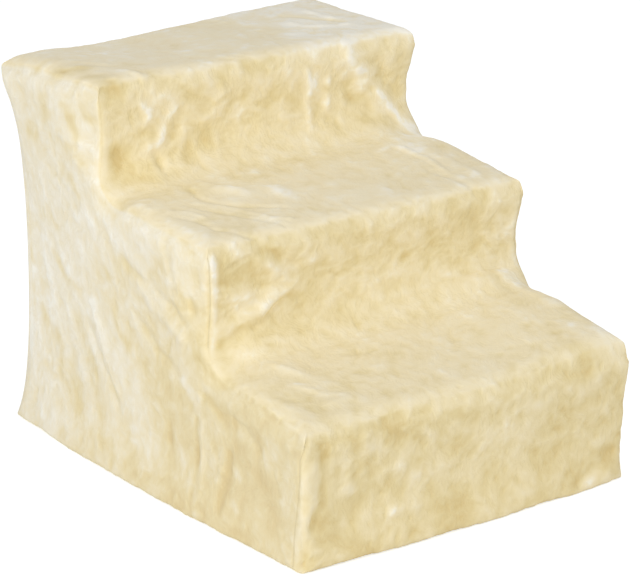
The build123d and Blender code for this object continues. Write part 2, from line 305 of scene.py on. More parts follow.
# Plush cover, its block: the stairs as the stretched cloth wraps them, with the spans over
# the inner corners and soft edges, cut into small even squares.
half_width = 0.175
steps = [(-0.225, 0.119), (-0.090, 0.237), (0.065, 0.340)]
back = 0.225
hem_level = 0.001
nose_bevel, rim_bevel, hem_round, span_round = 0.012, 0.004, 0.005, 0.026
inner_corners = [(steps[1][0], steps[0][1]), (steps[2][0], steps[1][1])]
cloth_cell = 0.002
tiny = 1e-5
seam_line = 0.1715
hem_turn = 0.008



def verts_in(geometry):
    return [v for v in geometry if isinstance(v, bmesh.types.BMVert)]


block = bmesh.new()
corner = [(steps[0][0], hem_level)]
for index, (front, top) in enumerate(steps):
    corner += [(front, top), (steps[index + 1][0] if index < 2 else back, top)]
corner += [(back, hem_level)]
section = block.faces.new([block.verts.new((-half_width, y, z)) for y, z in corner])
pulled = bmesh.ops.extrude_face_region(block, geom=[section])["geom"]
bmesh.ops.translate(block, vec=(2 * half_width, 0, 0), verts=verts_in(pulled))
bmesh.ops.recalc_face_normals(block, faces=block.faces)


def edges_where(built, test):
    return [e for e in built.edges if test(*e.verts)]


def along_at(y, z):
    return lambda a, b: all(abs(v.co.y - y) < tiny and abs(v.co.z - z) < tiny for v in (a, b))


def soften(built, edges, radius, segments):
    bmesh.ops.bevel(built, geom=edges, offset=radius, offset_type="OFFSET", segments=segments,
                    profile=0.5, affect="EDGES", material=-1, clamp_overlap=False)


for y, z in inner_corners:
    soften(block, edges_where(block, along_at(y, z)), span_round, 10)
for y, z in [*steps, (back, steps[-1][1])]:
    soften(block, edges_where(block, along_at(y, z)), nose_bevel, 6)
soften(block, edges_where(block, lambda a, b: a.co.x * b.co.x > 0
                          and max(a.co.z, b.co.z) > 2 * hem_level
                          and abs(abs(a.co.x) - half_width) < tiny
                          and abs(abs(b.co.x) - half_width) < tiny), rim_bevel, 6)
soften(block, edges_where(block, lambda a, b: max(a.co.z, b.co.z) < hem_level + tiny
                          and any(abs(f.normal.z) < 0.5 for f in a.link_faces)), hem_round, 5)
block_piece = new_piece("cover_block", block, foam)
even = block_piece.modifiers.new("even", "REMESH")
even.mode = "VOXEL"
even.voxel_size = cloth_cell
bpy.context.view_layer.update()
finished_block = block_piece.evaluated_get(bpy.context.evaluated_depsgraph_get())
evened = bpy.data.meshes.new_from_object(finished_block)
bpy.data.objects.remove(block_piece)
skin = bmesh.new()
skin.from_mesh(evened)
bpy.data.meshes.remove(evened)
centres = {f: f.calc_center_median() for f in skin.faces}
under = [f for f, c in centres.items() if c.z < hem_level + 0.35 * cloth_cell
         and abs(c.x) < half_width - hem_turn and abs(c.y) < back - hem_turn]
bmesh.ops.delete(skin, geom=under, context="FACES")
for _ in range(2):
    bmesh.ops.smooth_vert(skin, verts=[v for v in skin.verts if not v.is_boundary], factor=0.5,
                          use_axis_x=True, use_axis_y=True, use_axis_z=True)


# Plush cover, its drape: the rims and noses are rounded by the padding, the cloth is drawn in
# between the edges that carry it, and it slopes up to the riser over each inner corner.
def smooth_step(value, low, high):
    share = np.clip((value - low) / (high - low), 0, 1)
    return share * share * (3 - 2 * share)


def bow(value, low, high):
    return np.sin(np.pi * np.clip((value - low) / (high - low), 0, 1))


def hump(gap, width):
    return np.exp(-(gap / width) ** 2)


def round_over(out, over, radius):
    """How far points beyond a round's centre, by out and over, are pulled in to the round."""
    reach = np.hypot(np.maximum(out, 0), np.maximum(over, 0))
    share = np.where((out > 0) & (over > 0), np.clip(1 - radius / np.maximum(reach, 1e-9), 0, 1), 0)
    return np.maximum(out, 0) * share, np.maximum(over, 0) * share


rest = np.array([v.co for v in skin.verts])
facing = np.array([v.normal for v in skin.verts])
x, y, z = rest.T.copy()
side = np.sign(x)
fronts, tops = np.array(steps).T
risers = [(low, front, top) for low, front, top in zip((0, *tops[:2]), fronts, tops)]
tread_index = (y >= fronts[1] + 0.0005).astype(int) + (y >= fronts[2] + 0.0005)
tread_level = tops[tread_index]
rim_radius, nose_radius, back_radius = 0.021, 0.019, 0.021

on_span = smooth_step(z, tread_level + 0.0005, tread_level + 0.0040)
pull_x, pull_z = round_over(np.abs(x) - half_width + rim_radius, z - tread_level + rim_radius,
                            rim_radius)
x, z = x - side * pull_x * (1 - on_span), z - pull_z * (1 - on_span)
for front, top in steps:
    here = (y < front + nose_radius) & (z < top + 0.001) & (y > front - 0.002)
    pull_y, pull_z = round_over(front + nose_radius - y, z - top + nose_radius, nose_radius)
    y, z = y + pull_y * here, z - pull_z * here
pull_y, pull_z = round_over(y - back + back_radius, z - tops[2] + back_radius, back_radius)
y, z = y - pull_y, z - pull_z
upright_radius = 0.015 + 0.015 * bow(z, 0, tops[2])
pull_x, pull_y = round_over(np.abs(x) - half_width + upright_radius, y - back + upright_radius,
                            upright_radius)
x, y = x - side * pull_x, y - pull_y
foot_radius = 0.005 + 0.010 * (1 - smooth_step(z, 0.005, 0.060))
pull_x, pull_y = round_over(np.abs(x) - half_width + foot_radius, fronts[0] + foot_radius - y,
                            foot_radius)
x, y = x - side * pull_x, y + pull_y

# The slopes, the sag of the top behind, and the cloth pulled tight at the inner corners' ends.
slope_height, slope_reach = (0.0240, 0.0145), (0.128, 0.140)
top_sag, sag_width, top_swell, worn_depth = 0.0065, 0.062, 0.0025, 0.006
tight_in, tight_down = 0.004, 0.0085
tread_lift, right_lift = 0.0025, np.array((0.0080, 0.0015, 0.0015))
for (foot, level), height, reach, above in zip(inner_corners, slope_height, slope_reach, np.diff(tops)):
    share = np.clip(1 - (foot - rest[:, 1]) / reach, 0, 1)
    share = np.minimum(share, 1 - smooth_step(rest[:, 1], foot + 0.012, foot + 0.100))
    down = smooth_step(rest[:, 2], level - 0.075, level - 0.004)
    up = 1 - smooth_step(rest[:, 2], level + 0.012, level + 0.8 * above)
    tilt = 1 + 0.16 * x / half_width
    z = z + height * share * down * up * tilt
top_zone = smooth_step(rest[:, 2], 0.295, 0.338) * smooth_step(rest[:, 1], 0.075, 0.205)
z = z + top_zone * (top_swell * smooth_step(x, 0.03, 0.14) - top_sag * hump(x + 0.082, sag_width))
worn_corner = hump(np.hypot(x + half_width, y - back), 0.034) * smooth_step(rest[:, 2], 0.290, 0.335)
z = z - worn_depth * worn_corner
for foot, level in inner_corners:
    tight = (smooth_step(np.abs(x), 0.115, 0.165) * hump(rest[:, 1] - foot + 0.014, 0.024)
             * hump(rest[:, 2] - level - 0.012, 0.024))
    y, z = y + tight_in * tight, z - tight_down * tight
lift = tread_lift + right_lift[tread_index] * smooth_step(x, 0.03, 0.15)
z = z + lift * smooth_step(facing[:, 2], 0.2, 0.8)

# The draws: the sides and the back curve in between the base and the top, and each riser
# between its treads. The hem is pushed out again by the base rails.
side_draw, back_draw, riser_draw = (0.0025, 0.0045, 0.0070, 0.0122), 0.0122, (0.003, 0.006, 0.006)
edge_draw, edge_step, foot_draw = (0.0065, 0.0070), (0.0030, 0.0020), 0.003
side_push, front_push = 0.007, 0.006
flank_zone = smooth_step(np.abs(x), 0.120, 0.170)
level_line = np.interp(rest[:, 1], (*fronts, back), (0.125, 0.190, 0.270, 0.345))
draw_depth = np.interp(rest[:, 1], (*fronts, 0.200), side_draw)
fullness = 0.75 + 0.45 * smooth_step(rest[:, 2] / level_line, 0.45, 0.70)
drawn_x = draw_depth * bow(rest[:, 2], 0.004, level_line) ** fullness
for (low, front, top), depth, step_in in zip(risers[1:], edge_draw, edge_step):
    drawn = depth * bow(rest[:, 2], low, top) + step_in * smooth_step(rest[:, 2], low, low + 0.030)
    drawn_x = np.maximum(drawn_x, drawn * hump(rest[:, 1] - front, 0.034))
narrow = (1 - smooth_step(rest[:, 2], 0.02, 0.26)) * smooth_step(rest[:, 1], 0.02, 0.21)
x = x - side * (drawn_x + foot_draw * narrow) * flank_zone
for (low, front, top), depth in zip(risers, riser_draw):
    near = (smooth_step(rest[:, 1], front - 0.030, front - 0.002)
            * (1 - smooth_step(rest[:, 1], front + 0.014, front + 0.060)))
    y = y + depth * bow(rest[:, 2], low, top) * near
drawn_y = back_draw * bow(rest[:, 2], 0.004, tops[2]) ** fullness + foot_draw * narrow
y = y - drawn_y * smooth_step(rest[:, 1], 0.150, 0.215)
for corner_y, corner_z, amount in [(0.222, 0.316, 0.0024), (0.068, 0.318, 0.001)]:
    push = amount * hump(np.hypot(np.abs(rest[:, 0]) - 0.172, rest[:, 1] - corner_y), 0.030)
    push = push * hump(rest[:, 2] - corner_z, 0.024)
    x, y = x + side * push, y + push * (1 if corner_y > 0.2 else -1)
hem_zone = 1 - smooth_step(rest[:, 2], 0.004, 0.055)
x = x + side * side_push * hem_zone * bow(rest[:, 1], -back, back) * flank_zone
y = y - (front_push * hem_zone * bow(x, -half_width, half_width)
         * (1 - smooth_step(rest[:, 1], -0.222, -0.19)))
draped = np.stack((x, y, z), axis=1)

# The relief of the pile: broad waves, soft patches and small open tufts, and on the sides the streaks that
# run down from the top back corner and hang from the first tread's inner corner. The tufts are also painted
# paler, as glints.
noise.seed_set(5)
fan_y, fan_z = 0.215, 0.300
wave_height, patch_height, streak_height, tuft_height = 0.0016, 0.0017, 0.0009, 0.0012
patch, wave, streak, tuft_glints = (np.zeros(len(rest)) for _ in range(4))
side_face = smooth_step(np.abs(facing[:, 0]), 0.6, 0.95)
lower_front = (1 - smooth_step(rest[:, 1], -0.120, -0.050)) * (1 - smooth_step(rest[:, 2], 0.090, 0.120))
for index, point in enumerate(rest):
    p = Vector(point)
    warped = p + noise.noise_vector(p * 22) * 0.012
    wave[index] = noise.noise(p * 13 + Vector((3, 1, 7)))
    patch[index] = (0.46 * noise.noise(warped * 46) + 0.36 * noise.noise(warped * 105)
                    + 0.24 * noise.noise(warped * 210))
    # Small raised tufts, also painted paler as glints.
    tuft_glints[index] = max(0, noise.noise(warped * 64 + Vector((11, 4, 2))) - 0.30)
    if side_face[index] > 0:
        turn = math.atan2(fan_z - p.z, fan_y - p.y)
        reach = math.hypot(fan_z - p.z, fan_y - p.y)
        faded = min(max((reach - 0.05) / 0.10, 0), 1)
        fan = faded * noise.noise(Vector((turn * 13, reach * 8,
                                          math.copysign(2, p.x) + patch[index] * 0.4)))
        hang = noise.noise(Vector((p.y * 70, p.z * 12, math.copysign(5, p.x) + patch[index] * 0.3)))
        hanging = lower_front[index]
        streak[index] = (fan * (1 - hanging) + 0.6 * hang * hanging) * side_face[index]
upward = smooth_step(facing[:, 2], 0.5, 0.9)
relief = (wave_height * wave + (patch_height - 0.0006 * side_face) * (1 - 0.35 * upward) * patch
          + streak_height * streak + tuft_height * tuft_glints)
# Tone of the pile, to which painted highlights and shade are added below.
tone_and_light = (1.25 * patch * (1 - side_face * (0.20 + 0.25 * lower_front)) + 0.35 * wave + 0.62 * streak
       + 1.1 * tuft_glints)


def distance_to(points, line):
    nearest = np.full(len(points), 1e9)
    for start, end in zip(line[:-1], line[1:]):
        start, end = np.array(start), np.array(end)
        run = end - start
        share = np.clip((points - start) @ run / max(run @ run, 1e-12), 0, 1)
        gap = np.linalg.norm(points - start - share[:, None] * run, axis=1)
        nearest = np.minimum(nearest, gap)
    return nearest


# The folds, face by face: the axis across the face and its place, then the width and height of each fold and
# its line along the face, in millimetres. The height also sets how much the fold's ridge is painted paler,
# as highlight, and its crease darker, as shade.
folds = {
    "third riser": (1, 65, [
        (5, 1.3, [(-107, 317), (-96, 315), (-91, 307), (-98, 295), (-107, 284), (-119, 278)]),
        (4, 1.53, [(-127, 317), (-117, 308), (-120, 296)]), (5, -2.04, [(-84, 303), (-88, 289), (-98, 279)]),
        (4, 1.87, [(-42, 322), (-38, 314), (-47, 307)]), (4, 2.04, [(-37, 303), (-49, 298), (-58, 292)]),
        (8, -2.38, [(-149, 276), (-144, 258), (-129, 256)]), (6, -2.21, [(-109, 269), (-109, 258)]),
        (11, -2.04, [(-76, 266), (-60, 276), (-35, 278)]), (8, 1.36, [(-88, 257), (-76, 249), (-83, 243)]),
        (9, 2.72, [(94, 326), (119, 298), (144, 272), (163, 249)]),
        (7, -2.21, [(129, 317), (140, 298), (154, 279)]), (7, -1.53, [(93, 298), (110, 280), (123, 267)]),
        (9, 1.53, [(1, 283), (26, 280)]), (4, 1.7, [(48, 320), (53, 304), (50, 268)]),
        (5, -1.53, [(59, 316), (66, 291)]), (4, 1.53, [(73, 308), (72, 284)]),
    ]),
    "second tread": (2, 237, [
        (10, 3.2, [(-92, 25), (-78, 1), (-45, -11)]),
        (3.5, -1.6, [(-105, 22), (-110, 6), (-106, -10), (-91, -26), (-59, -46)]),
        (2.4, 1.5, [(-122, -4), (-108, -17), (-97, -33), (-89, -48), (-85, -63), (-72, -70)]),
        (2.4, -1.1, [(-125, -15), (-113, -30), (-103, -46), (-94, -61), (-83, -77)]),
        (2.4, 1.5, [(-153, -10), (-140, -17), (-133, -34)]), (3, 1, [(-165, 28), (-161, 21), (-162, 5)]),
        (3, -1.3, [(-153, -21), (-143, -36), (-139, -49)]),
        (3, -1.2, [(-140, -59), (-124, -78), (-104, -93)]), (7, 1.5, [(133, -1), (131, -59)]),
        (3, 1.4, [(112, 16), (117, -14), (114, -47)]), (4, -1.2, [(104, -39), (111, -69), (116, -94)]),
        (4, 1.4, [(77, -100), (113, -107)]),
    ]),
    "second riser": (1, -90, [
        (3, -2.74, [(-158, 149), (-146, 156), (-134, 161)]),
        (2.6, -2.74, [(-120, 160), (-109, 165), (-101, 171), (-93, 176), (-85, 178), (-74, 175)]),
        (5, 2.45, [(-152, 160), (-138, 167), (-121, 170), (-107, 177), (-97, 184), (-83, 186)]),
        (3.5, -1.3, [(-148, 172), (-133, 179), (-121, 180)]),
        (2.4, -2.02, [(-150, 212), (-142, 215), (-135, 218), (-126, 221)]),
        (8, -1.87, [(-144, 204), (-128, 205), (-111, 193)]),
        (5, 2.16, [(-113, 214), (-99, 204), (-78, 189)]),
        (4, -2.02, [(-114, 225), (-103, 220), (-89, 213), (-77, 205)]),
        (3, -1.44, [(-153, 222), (-152, 197)]),
        (8, 1.3, [(-142, 193), (-127, 186)]), (9, -1.3, [(-112, 153), (-77, 154)]),
        (8, -1.08, [(111, 214), (121, 189)]),
    ]),
    "first tread": (2, 119, [
        (8, 2.4, [(-175, -99), (-180, -115), (-181, -137), (-184, -168), (-184, -195), (-185, -220)]),
        (9, 1.6, [(-136, -119), (-126, -130), (-114, -140)]),
        (8, -1.4, [(-160, -122), (-156, -146), (-147, -173)]), (3, 1.3, [(-129, -122), (-116, -142)]),
        (3, 1.3, [(-129, -160), (-119, -176), (-103, -186)]), (3, -1.2, [(-63, -131), (-41, -136)]),
        (5, 1.4, [(-123, -192), (-101, -192)]), (10, -1.6, [(-95, -221), (-55, -235)]),
        (8, 2, [(143, -95), (145, -120), (150, -147)]),
    ]),
    "first riser": (1, -225, [
        (5.5, 1.7, [(-166, 108), (-164, 86), (-165, 61), (-171, 38)]),
        (4.5, -2.8, [(-153, 104), (-150, 74), (-155, 54), (-163, 40)]),
        (5, 1.8, [(-110, 103), (-108, 90), (-112, 77)]), (5, 1.6, [(-125, 84), (-129, 60)]),
        (5, 2, [(-87, 69), (-74, 69)]), (5, 1.8, [(-85, 34), (-62, 33)]),
        (10, -1.8, [(-78, 89), (-31, 75)]), (10, -1.8, [(-133, 36), (-100, 50)]),
        (10, 2.2, [(101, -4), (147, 12)]), (8, -1.6, [(118, 8), (152, 27)]),
    ]),
    "top tread": (2, 340, [
        (9, -1.6, [(-162, 140), (-159, 107), (-156, 74)]),
        (3.5, 1.1, [(-153, 152), (-139, 137), (-131, 118)]),
        (3.5, 1.1, [(-152, 124), (-142, 108), (-129, 89), (-121, 66)]), (4, 0.8, [(-154, 60), (-150, 53)]),
        (4, 1.8, [(86, 144), (93, 124), (124, 111)]), (3, 1.5, [(124, 173), (128, 139)]),
        (4, -1.4, [(96, 173), (131, 121)]), (3, 1.3, [(43, 201), (46, 189)]),
    ]),
    "left side": (0, -175, [
        (4.5, -2, [(29, 195), (10, 189), (-8, 182)]),
        (4.5, -2.4, [(-8, 188), (-35, 176), (-57, 166), (-71, 156)]),
        (6, 1.8, [(8, 179), (-22, 165), (-54, 151)]), (3, -2.4, [(-63, 188), (-66, 177)]),
        (5, -1.6, [(-33, 231), (-41, 214), (-43, 190)]), (4.5, -1.8, [(14, 149), (-16, 129), (-43, 118)]),
        (6, 1.6, [(82, 129), (63, 96), (40, 70)]), (4.5, -1.6, [(96, 119), (69, 90), (46, 62)]),
        (5, -2.2, [(-86, 113), (-111, 103), (-143, 98), (-162, 88)]),
        (4, -1.3, [(-74, 85), (-76, 50), (-75, 15)]), (3, 1.4, [(-83, 87), (-84, 57), (-85, 27)]),
        (5, -2, [(-123, 70), (-118, 45), (-112, 20)]), (4, 1.6, [(-111, 53), (-119, 50)]),
        (4, -1.8, [(-35, 69), (-33, 54)]),
    ]),
}

# Where the pile lies open (paler) or crushed (yellower), and on the left side one line of painted shade
# under the first tread's rim: width, tone and line, as above.
tones = {
    "third riser": (1, 65, [
        (9, -1.1, [(-149, 278), (-147, 261), (-127, 254)]), (8, -0.9, [(-118, 300), (-116, 287)]),
        (9, -0.68, [(-78, 268), (-60, 273)]), (7, -0.77, [(-53, 272), (-49, 268)]),
        (9, -0.42, [(-36, 274), (-18, 259)]), (9, -0.51, [(-17, 304), (1, 292)]),
        (8, -0.68, [(22, 308), (32, 296)]), (10, -0.42, [(1, 274), (26, 272)]),
        (8, 0.68, [(-120, 321), (-105, 308), (-116, 303)]), (6, 0.68, [(-100, 298), (-106, 285)]),
        (8, 0.42, [(-157, 332), (-150, 324)]), (6, 0.59, [(-54, 324), (-42, 315)]),
        (5, 0.68, [(-25, 309), (-22, 291)]), (11, 0.38, [(-93, 258), (-73, 246)]),
        (10, 0.34, [(-115, 244), (-101, 233)]), (4, 1.02, [(-21, 277), (-20, 274)]),
        (6, 0.68, [(53, 330), (63, 296)]), (6, 0.59, [(98, 323), (100, 304)]),
        (10, -0.68, [(93, 296), (114, 278)]), (10, -0.68, [(60, 277), (75, 262)]),
        (8, -0.59, [(138, 269), (111, 261)]), (9, -0.51, [(38, 302), (43, 283)]),
        (12, -0.59, [(153, 327), (151, 304)]), (9, 0.51, [(115, 300), (146, 269)]),
        (9, -0.34, [(-86, 314), (-66, 318)]),
        (6, 1.0, [(-107, 317), (-96, 315), (-91, 307), (-98, 295), (-107, 284), (-119, 278)]),
        (2.5, 0.8, [(-127, 317), (-117, 308), (-120, 296)]), (3, 0.8, [(-37, 303), (-49, 298), (-58, 292)]),
        (7, 0.8, [(94, 326), (119, 298), (144, 272), (163, 249)]),
        (4, 0.9, [(48, 320), (53, 304), (50, 268)]),
        (4, 0.8, [(73, 308), (72, 284)]),
    ]),
    "second tread": (2, 237, [
        (9, -0.9, [(-103, 23), (-101, 14)]), (6, 0.5, [(-73, 20), (-74, 7)]),
        (6, 0.5, [(-53, 1), (-51, -16)]), (8, -0.5, [(-51, 24), (-35, 21)]),
        (9, -0.6, [(-137, -40), (-119, -65)]), (5, 0.7, [(-136, -46), (-125, -47)]),
        (6, 0.2, [(-165, 29), (-160, 15)]), (7, 0.2, [(-169, -53), (-166, -75)]),
        (9, -0.5, [(106, -27), (92, -72)]), (8, 0.6, [(141, 44), (134, 20)]),
        (6, 0.5, [(126, -65), (135, -94)]), (8, -0.5, [(147, 2), (155, -19)]),
    ]),
    "second riser": (1, -90, [
        (7, -0.7, [(-153, 213), (-148, 194)]), (8, -0.35, [(-142, 200), (-134, 206)]),
        (8, 0.63, [(-141, 179), (-133, 184)]), (7, 0.63, [(-124, 191), (-115, 186)]),
        (7, 0.56, [(-101, 180), (-91, 185)]), (6, -0.77, [(-112, 224), (-99, 218)]),
        (5, 0.56, [(-107, 211), (-89, 199)]), (7, -0.63, [(-153, 151), (-138, 156)]),
        (8, -0.49, [(-83, 174), (-72, 167)]), (9, -0.35, [(-112, 154), (-73, 153)]),
        (12, -0.35, [(-145, 220), (-139, 219)]), (6, 0.56, [(-145, 232), (-136, 222)]),
        (10, 0.28, [(-141, 137), (-116, 137)]), (11, -0.63, [(82, 229), (100, 215)]),
        (8, -0.42, [(114, 207), (121, 185)]), (6, 0.42, [(144, 208), (152, 183)]),
        (6, 0.49, [(144, 165), (155, 157)]), (8, -0.28, [(-60, 170), (-26, 146)]),
    ]),
    "first tread": (2, 119, [
        (11, -0.6, [(-160, -110), (-150, -112)]), (9, -0.5, [(-158, -149), (-150, -175)]),
        (6, 0.6, [(-131, -163), (-103, -186)]), (6, 0.5, [(-130, -120), (-114, -140)]),
        (4, 0.9, [(-128, -151), (-125, -158)]), (6, 1, [(134, -147), (145, -148)]),
        (5, 0.8, [(135, -174), (137, -185)]), (9, 0.9, [(143, -93), (148, -110)]),
        (11, -0.6, [(111, -204), (124, -221)]), (9, 0.5, [(-146, -210), (-139, -227)]),
        (9, -0.4, [(-159, -214), (-144, -215)]),
    ]),
    "first riser": (1, -225, [
        (5, -0.6, [(-154, 104), (-150, 59)]), (6, 0.7, [(-133, 80), (-124, 88)]),
        (5, 1, [(-127, 67), (-126, 61)]), (6, 0.9, [(-102, 97), (-112, 89)]),
        (5, 1, [(-84, 70), (-75, 70)]), (6, 0.9, [(-86, 34), (-64, 34)]), (9, -0.7, [(-88, 64), (-76, 49)]),
        (9, -0.6, [(-51, 41), (-30, 28)]), (9, -0.6, [(-133, 44), (-121, 33)]),
        (8, -0.7, [(-151, 40), (-146, 25)]), (6, 0.7, [(-133, 37), (-131, 32)]),
        (10, -0.5, [(-124, 11), (-94, 9)]), (10, -0.5, [(-72, 38), (-69, 11)]),
        (10, -0.5, [(-125, 104), (-116, 95)]), (9, 0.5, [(-99, 19), (-94, 5)]),
        (8, 1.1, [(131, 12), (144, 14)]), (9, -0.8, [(154, 26), (147, 19)]),
    ]),
    "top tread": (2, 340, [
        (6, -1.08, [(-175, 168), (-157, 164)]), (9, -1.5, [(-168, 136), (-150, 118)]),
        (10, -1.6, [(-164, 97), (-150, 70)]), (6, -0.81, [(-113, 113), (-110, 102)]),
        (5, 1.22, [(-154, 60), (-150, 53)]), (7, 1.08, [(-53, 78), (-25, 81)]),
        (5, 1.08, [(-26, 206), (-15, 198)]), (5, 0.94, [(-21, 149), (-6, 147)]),
        (4, 1.08, [(43, 201), (48, 192)]), (6, -0.94, [(97, 214), (112, 208)]),
        (7, -0.81, [(60, 148), (61, 122)]), (6, 1.76, [(83, 141), (119, 105)]),
        (5, 1.35, [(124, 173), (130, 142)]), (5, -1.22, [(96, 173), (131, 121)]),
        (5, 1.22, [(129, 93), (160, 84)]), (7, 1.35, [(61, 118), (83, 92)]),
        (6, 0.68, [(-117, 162), (-105, 158)]),
    ]),
    "left side": (0, -175, [
        (9, -1.6, [(151, 314), (145, 303)]), (6, -1.6, [(117, 313), (105, 305)]),
        (6, -1.5, [(88, 315), (81, 304)]), (8, -1.2, [(180, 277), (168, 273)]),
        (7, -1.3, [(105, 296), (103, 286)]), (8, -1.2, [(110, 272), (94, 267)]),
        (5, -0.5, [(145, 253), (136, 246)]), (5, -1.3, [(111, 248), (99, 236)]),
        (4, -0.8, [(155, 206), (142, 196)]), (4, -0.7, [(125, 195), (118, 183)]),
        (4, -0.9, [(152, 172), (132, 157), (110, 145)]), (4, -0.8, [(73, 193), (60, 175)]),
        (5, -1, [(69, 158), (55, 145)]), (5, -1.1, [(51, 141), (40, 128), (31, 118)]),
        (9, -0.8, [(45, 193), (19, 192)]), (5, -0.8, [(7, 187), (-15, 173), (-40, 163)]),
        (5, -0.7, [(-52, 191), (-60, 182)]), (14, -0.5, [(-5, 144), (-22, 120), (-26, 101)]),
        (14, -0.4, [(-51, 144), (-61, 123)]), (6, -0.8, [(175, 114), (168, 103)]),
        (7, -0.9, [(149, 99), (143, 84), (146, 68)]), (6, -0.8, [(181, 62), (156, 59)]),
        (8, -0.8, [(122, 58), (114, 38)]), (7, -0.7, [(89, 92), (84, 77)]), (5, -0.7, [(58, 81), (48, 69)]),
        (7, 0.6, [(76, 112), (63, 89), (47, 66)]), (8, 0.8, [(42, 113), (28, 95)]),
        (8, 0.5, [(99, 126), (86, 100)]), (6, 0.8, [(30, 46), (14, 40)]), (9, 0.3, [(56, 208), (11, 212)]),
        (9, 0.4, [(-1, 215), (-13, 201)]), (8, 1.1, [(-54, 117), (-71, 105)]),
        # The second entry below is painted shade under the first tread's rim.
        (6, 0.8, [(178, 25), (166, 16)]), (4, -0.9, [(-89, 109), (-111, 101), (-128, 96)]),
        (3, -0.8, [(-74, 85), (-76, 50), (-75, 15)]), (4, -1.1, [(-35, 69), (-33, 54)]),
        (5, -1, [(-122, 69), (-117, 42), (-113, 18)]), (5, 1, [(-131, 59), (-136, 54)]),
        (5, 0.9, [(-130, 33), (-136, 28)]), (6, -0.8, [(-133, 79), (-159, 66)]),
        (10, -0.5, [(-178, 64), (-187, 33)]), (6, 0.7, [(-4, 47), (-15, 22)]),
        (6, -0.6, [(13, 27), (8, 18)]), (6, -0.7, [(77, 26), (47, 18)]), (5, 0.9, [(-49, 52), (-55, 47)]),
        (7, -0.5, [(-154, 103), (-176, 96)]), (6, 0.8, [(-173, 97), (-187, 93)]),
        (6, 0.5, [(-42, 181), (-31, 192)]), (8, 0.6, [(92, 144), (82, 130)]),
    ]),
}

fold_height, fold_shade_and_highlight, open_tone = 0.95, 0.13, 0.60
wobble = np.array([noise.noise_vector(Vector(p) * 55) for p in rest]) * 0.0035
uneven = 1 + 0.7 * np.array([noise.noise(Vector(p) * 60 + Vector((5, 5, 5))) for p in rest])
for table, is_fold in ((folds, True), (tones, False)):
    for axis, place, lines in table.values():
        spread = draped.copy()
        spread[:, axis] = place / 1000 + 0.5 * (rest[:, axis] - place / 1000)
        for width, amount, line in lines:
            points = [np.insert(np.array(p, float), axis, place) / 1000 for p in line]
            stray = wobble * min(1, width / 6) * (1 if is_fold else 1.6)
            near = hump(distance_to(spread + stray, points), width / 1000)
            if is_fold:
                relief += fold_height * amount / 1000 * near * uneven
                # Painted highlight on the fold's ridge and painted shade in its crease.
                tone_and_light += fold_shade_and_highlight * amount * near * uneven
            else:
                tone_and_light += open_tone * amount * near * np.clip(uneven + patch, 0.1, 1.9)

# The seams up the front corners: the strip bulges beside the stitches, and the bulge is painted paler, as a
# highlight. At the first step it is sewn a little round the corner, and it leans back towards the hem.
seam_places = np.array((0.0035, -0.0030, -0.0025))
seam_lean, seam_return = 0.0080, 0.007
bulge_height, stitch_depth = 0.0012, 0.0006
stitch_share, bulge_share = np.array((0.9, 1.0, 0.4)), np.array((0.25, 1.0, 0.5))
riser_index = (rest[:, 1] >= -0.16).astype(int) + (rest[:, 1] >= -0.02)
around = np.abs(rest[:, 0]) - half_width + np.maximum(rest[:, 1] - fronts[riser_index], 0)
sewn_at = seam_places[riser_index] + (riser_index == 0) * (
    seam_lean * (1 - smooth_step(rest[:, 2], 0.0, 0.085))
    - seam_return * smooth_step(rest[:, 2], 0.095, 0.112))
across = around - sewn_at
upright = (1 - smooth_step(np.abs(facing[:, 2]), 0.25, 0.65)) * (np.abs(across) < 0.030)
upright *= np.where(riser_index == 0, 1.0, smooth_step(-facing[:, 1], 0.25, 0.8))
stitch = hump(across, 0.0016) * upright * stitch_share[riser_index]
seam_bulge_and_highlight = (hump(across + 0.0045, 0.0038) * upright * (1 + 0.4 * wave) * np.where(x > 0, 0.4, 1)
          * bulge_share[riser_index])
relief += bulge_height * seam_bulge_and_highlight - stitch_depth * stitch
# Painted highlight on the bulge beside the stitches.
tone_and_light += 1.00 * seam_bulge_and_highlight - 0.20 * stitch
# The treads' edges near the sides are painted paler, as a highlight on the rounded rim.
rim_highlight = hump(np.abs(rest[:, 0]) - 0.160, 0.010) * smooth_step(facing[:, 2], 0.4, 0.9)
tone_and_light += 0.18 * rim_highlight * (rest[:, 2] < 0.30)

# On the sides the pile lies open towards the top and back, and is crushed low in front. The upper treads are
# painted paler, the more so towards the right, as light.
paler = smooth_step(rest[:, 1] + 0.75 * rest[:, 2], -0.14, 0.26)
tone_and_light += side_face * (1.10 * paler - 0.62)
to_right = smooth_step(x, 0.0, 0.13)
# Painted light: the upper treads paler, more so towards the right.
tone_and_light += upward * np.where(rest[:, 2] > 0.30, 0.20 + 0.90 * to_right,
                         np.where(rest[:, 2] > 0.20, 0.10 + 0.25 * to_right, 0))
# Painted shade: the lower risers darker.
tone_and_light -= (np.where(rest[:, 2] < 0.12, 0.30, np.where(rest[:, 2] < 0.24, 0.15, 0))
        * smooth_step(-facing[:, 1], 0.5, 0.9))
moved = draped + facing * relief[:, None]

# The cloth settles over the inner corners, and keeps clear of the lining and of what that hides.
lining_x, lining_front, lining_back = 0.1615, -0.2115, 0.2115
lining_gap, corner_gap = 0.0018, 0.0020
corner_cut, post_cut = 0.0068, 0.0095
edge_ends = np.array([[v.index for v in e.verts] for e in skin.edges])
edge_count = np.bincount(edge_ends.ravel(), minlength=len(rest))


def settled(places, share, rounds):
    """Let the places settle between their neighbours, each by its share."""
    for _ in range(rounds):
        total = np.zeros_like(places)
        np.add.at(total, edge_ends[:, 0], places[edge_ends[:, 1]])
        np.add.at(total, edge_ends[:, 1], places[edge_ends[:, 0]])
        places = places + share[:, None] * (total / edge_count[:, None] - places)
    return places


